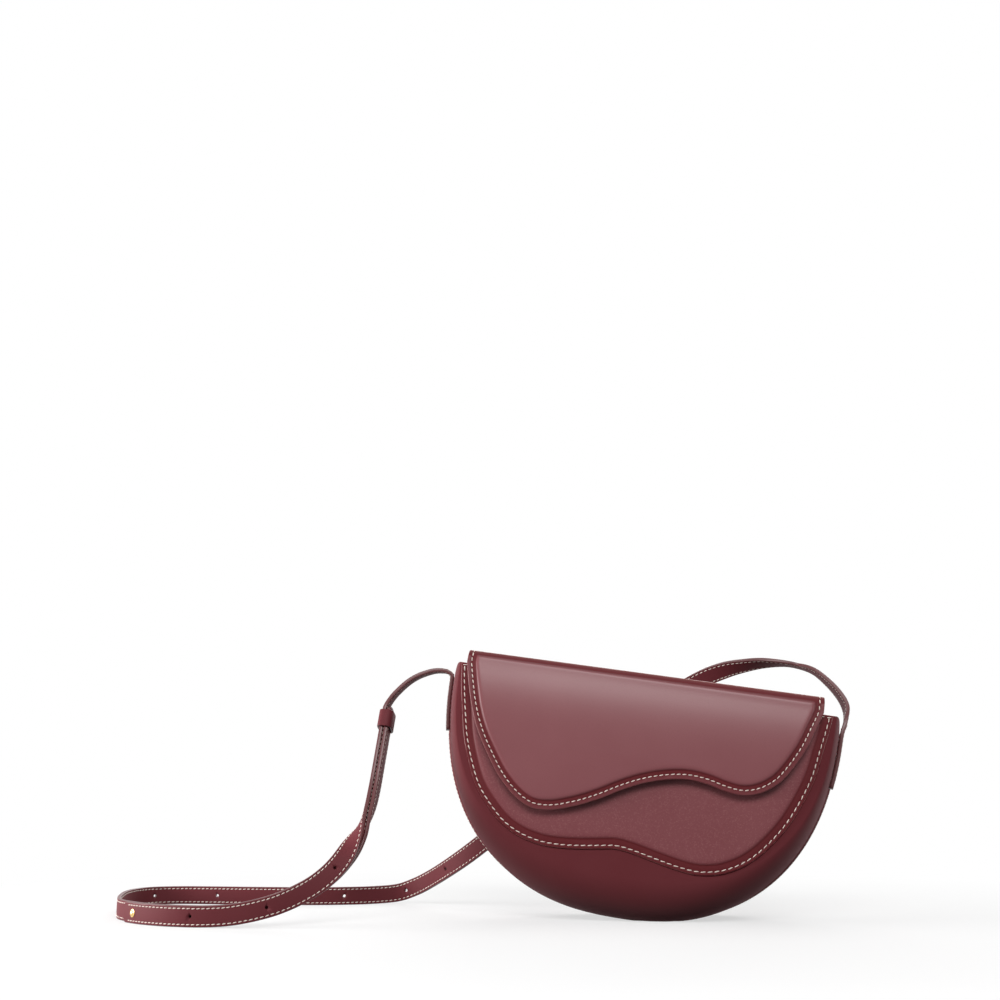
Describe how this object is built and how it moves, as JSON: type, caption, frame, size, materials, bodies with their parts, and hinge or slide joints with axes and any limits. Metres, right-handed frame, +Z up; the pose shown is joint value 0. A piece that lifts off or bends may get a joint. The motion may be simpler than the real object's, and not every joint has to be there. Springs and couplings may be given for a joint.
{
  "type": "crossbody handbag",
  "caption": "Half-moon crossbody handbag: moulded leather body, wavy front panel, wavy magnetic flap on a back hinge, and a studded strap with a sliding keeper, laid on the floor.",
  "frame": {"origin": "on the floor, under the middle of the bag's own box without its straps", "axes": "+Z up, the bag's front faces -Y, +X to the right seen from the front; the bag stands rolled 8.9 degrees clockwise seen from the front"},
  "size_m": [0.4734, 0.1674, 0.1649],
  "materials": {
    "gusset": "smooth semi-matte burgundy leather, moulded to shape",
    "gusset_lining": "plain matte lining, dark red",
    "front_panel": "burgundy leather with a fine speckled grain, padded middle, cream stitching",
    "front_board": "stiffener board, hidden",
    "front_lining": "plain matte lining, dark red",
    "back_panel": "smooth semi-matte burgundy leather, cream stitching",
    "back_lining": "plain matte lining, dark red",
    "slip_pocket": "plain matte lining, dark red",
    "flap_outer": "smooth semi-matte burgundy leather, raised middle, cream stitching, painted edge",
    "flap_lining": "plain matte lining, dark red",
    "flap_board": "stiffener board, hidden",
    "snap_socket": "flat magnet, hidden",
    "snap_stud": "flat magnet, hidden",
    "strap_tab_left": "smooth strap leather, painted edges",
    "strap_tab_right": "smooth strap leather, painted edges",
    "strap_short": "smooth strap leather, cream stitching along both edges, painted orange-brown edges",
    "strap_long": "smooth strap leather, cream stitching along both edges, painted orange-brown edges",
    "keeper": "smooth leather loop",
    "stud_head": "polished brass",
    "stud_back": "polished brass"
  },
  "bodies": {
    "bag": {"gusset": "gusset", "gusset_lining": "gusset_lining", "front_panel": "front_panel", "front_board": "front_board", "front_lining": "front_lining", "back_panel": "back_panel", "back_lining": "back_lining", "slip_pocket": "slip_pocket", "snap_socket": "snap_socket", "strap_tab_left": "strap_tab_left", "strap_tab_right": "strap_tab_right", "strap_short": "strap_short", "strap_long": "strap_long", "stud_head": "stud_head", "stud_back": "stud_back"},
    "flap": {"flap_outer": "flap_outer", "flap_lining": "flap_lining", "flap_board": "flap_board", "snap_stud": "snap_stud"},
    "keeper": {"keeper": "keeper"}
  },
  "joints": [
    {"name": "flap_hinge", "type": "hinge", "parent": "bag", "child": "flap", "pos_m": [0.00258, 0.0358, 0.14026], "axis": [-0.988, 0, 0.1547], "range_deg": [0, 90]},
    {"name": "keeper_slide", "type": "slide", "parent": "bag", "child": "keeper", "axis": [-0.0936, -0.2809, -0.9551], "range_m": [-0.003, 0.022]}
  ]
}
